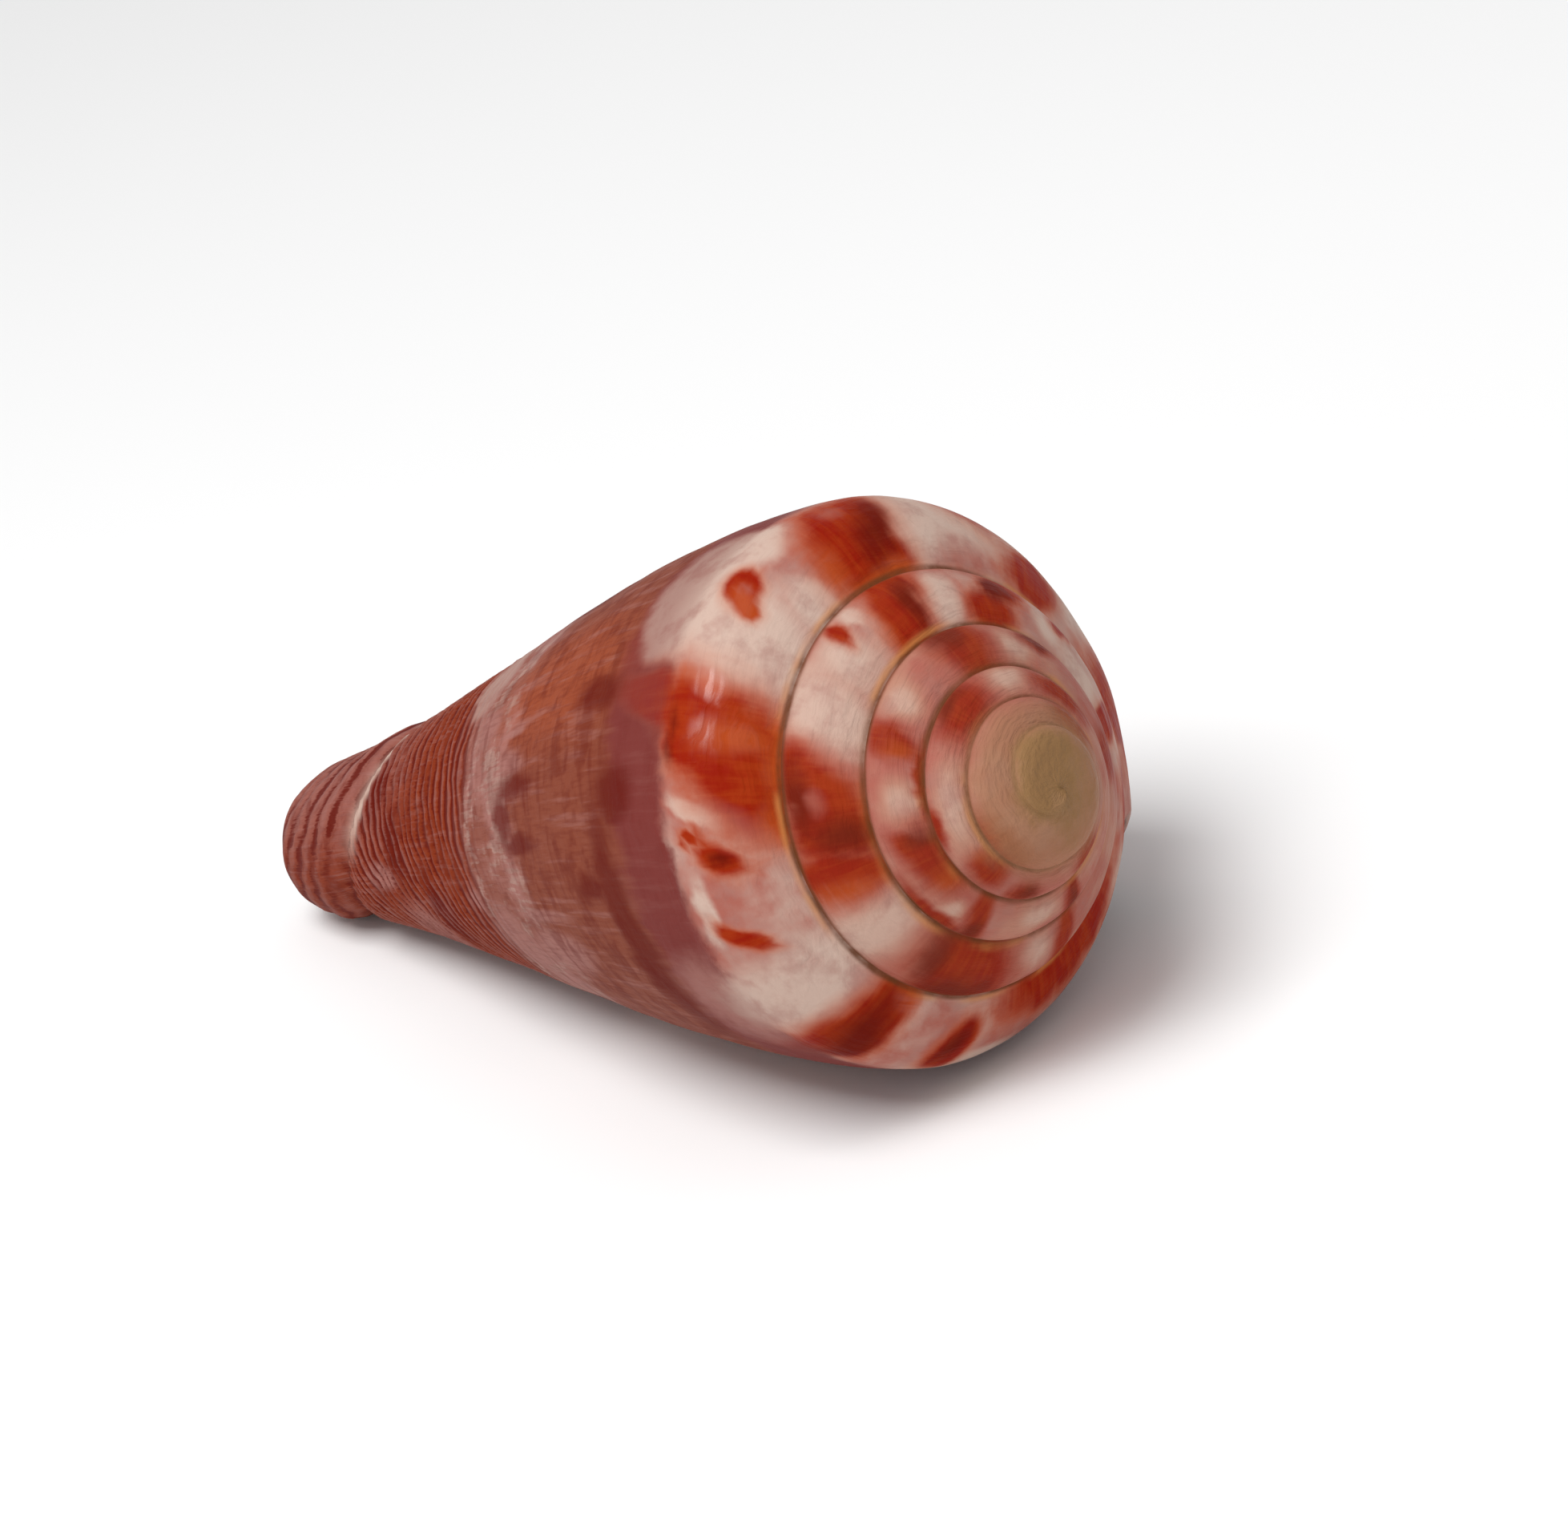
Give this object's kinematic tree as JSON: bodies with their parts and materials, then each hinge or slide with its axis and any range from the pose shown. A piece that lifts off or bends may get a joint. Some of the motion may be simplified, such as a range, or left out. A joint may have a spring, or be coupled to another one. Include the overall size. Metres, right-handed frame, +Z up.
{
  "type": "cone shell",
  "caption": "Empty sea-snail shell in cone form with a low stepped spire, rounded shoulder, straight tapering sides and a long narrow aperture, lying on its aperture side",
  "frame": {"origin": "middle of the bounding box's underside, on the surface the shell lies on", "axes": "+X runs along the shell towards the raised spire end, +Z is up, +Y completes a right-handed frame"},
  "size_m": [0.0496, 0.0238, 0.0219],
  "materials": {
    "shell": "worn satin shell, red-brown and cream blotches on the spire, mauve and red-brown body with fine spiral ridges"
  },
  "bodies": {
    "root": {"shell": "shell"}
  },
  "joints": []
}
